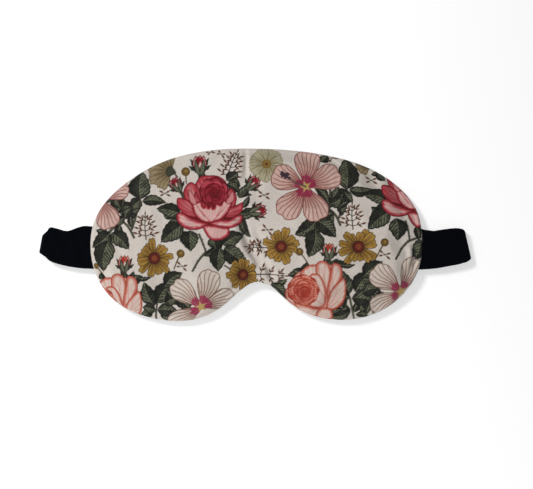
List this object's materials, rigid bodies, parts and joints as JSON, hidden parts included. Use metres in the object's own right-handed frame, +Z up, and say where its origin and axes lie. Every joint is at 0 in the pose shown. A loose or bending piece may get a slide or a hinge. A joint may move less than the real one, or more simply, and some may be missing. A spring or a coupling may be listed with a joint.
{
  "type": "sleep mask",
  "caption": "Padded contoured sleep mask with a nose notch, printed cloth front and a fabric-covered elastic head strap sewn to both ends and folded beneath.",
  "frame": {"origin": "middle of the footprint on the table, at the height the folded strap rests on", "axes": "+X along the mask's length towards the wearer's left end, +Y towards the forehead edge, +Z up out of the printed face"},
  "size_m": [0.2732, 0.1097, 0.0114],
  "materials": {
    "floral_cotton": "matte printed plain-weave cotton, vintage flowers on cream",
    "backing_cloth": "soft black jersey",
    "blackout_cloth": "dense black lining",
    "wadding": "white polyester wadding",
    "strap_cloth": "matte black knit",
    "elastic": "woven elastic tape",
    "thread": "sewing thread"
  },
  "bodies": {
    "strap_back": {"strap_back_casing": "strap_cloth", "strap_back_elastic": "elastic"},
    "strap_left_run": {"strap_left_run_casing": "strap_cloth", "strap_left_run_elastic": "elastic", "strap_left_fold_casing": "strap_cloth", "strap_left_fold_elastic": "elastic"},
    "strap_left_side": {"strap_left_side_casing": "strap_cloth", "strap_left_side_elastic": "elastic"},
    "mask_left": {"front_panel_left": "floral_cotton", "back_panel_left": "backing_cloth", "padding_front_left": "wadding", "padding_back_left": "wadding", "blackout_lining_left": "blackout_cloth", "seam_thread_left": "thread", "strap_end_casing_left": "strap_cloth", "strap_end_elastic_left": "elastic", "strap_tack_left": "thread"},
    "strap_right_run": {"strap_right_run_casing": "strap_cloth", "strap_right_run_elastic": "elastic", "strap_right_fold_casing": "strap_cloth", "strap_right_fold_elastic": "elastic"},
    "strap_right_side": {"strap_right_side_casing": "strap_cloth", "strap_right_side_elastic": "elastic"},
    "mask_right": {"front_panel_right": "floral_cotton", "back_panel_right": "backing_cloth", "padding_front_right": "wadding", "padding_back_right": "wadding", "blackout_lining_right": "blackout_cloth", "seam_thread_right": "thread", "strap_end_casing_right": "strap_cloth", "strap_end_elastic_right": "elastic", "strap_tack_right": "thread"}
  },
  "joints": [
    {"name": "left_strap_lift", "type": "hinge", "parent": "strap_back", "child": "strap_left_run", "pos_m": [-0.02, -0.0088, 0.0024], "axis": [0, 1, 0], "range_deg": [0, 35.25]},
    {"name": "right_strap_lift", "type": "hinge", "parent": "strap_back", "child": "strap_right_run", "pos_m": [0.02, -0.0088, 0.0024], "axis": [0, -1, 0], "range_deg": [0, 35.3]},
    {"name": "left_fold", "type": "hinge", "parent": "strap_left_run", "child": "strap_left_side", "pos_m": [-0.1337, -0.0088, 0.0029], "axis": [0, -1, 0], "range_deg": [0, 105.3], "deforming": ["strap_left_fold_casing", "strap_left_fold_elastic"]},
    {"name": "right_fold", "type": "hinge", "parent": "strap_right_run", "child": "strap_right_side", "pos_m": [0.1337, -0.0088, 0.0029], "axis": [0, 1, 0], "range_deg": [0, 105.3], "deforming": ["strap_right_fold_casing", "strap_right_fold_elastic"]},
    {"name": "left_seam", "type": "hinge", "parent": "strap_left_side", "child": "mask_left", "pos_m": [-0.10565, -0.0088, 0.0034], "axis": [0, 1, 0], "range_deg": [0, 58.05]},
    {"name": "nose_bridge", "type": "hinge", "parent": "mask_left", "child": "mask_right", "pos_m": [0, -0.0088, 0.0032], "axis": [0, 1, 0], "range_deg": [0, 24.05]}
  ],
  "couplings": [
    {"joint": "right_strap_lift", "follows": "left_strap_lift", "ratio": 1},
    {"joint": "left_fold", "follows": "left_strap_lift", "ratio": 2.9858},
    {"joint": "right_fold", "follows": "left_strap_lift", "ratio": 2.9858},
    {"joint": "left_seam", "follows": "left_strap_lift", "ratio": 1.6454},
    {"joint": "nose_bridge", "follows": "left_strap_lift", "ratio": 0.68085}
  ]
}
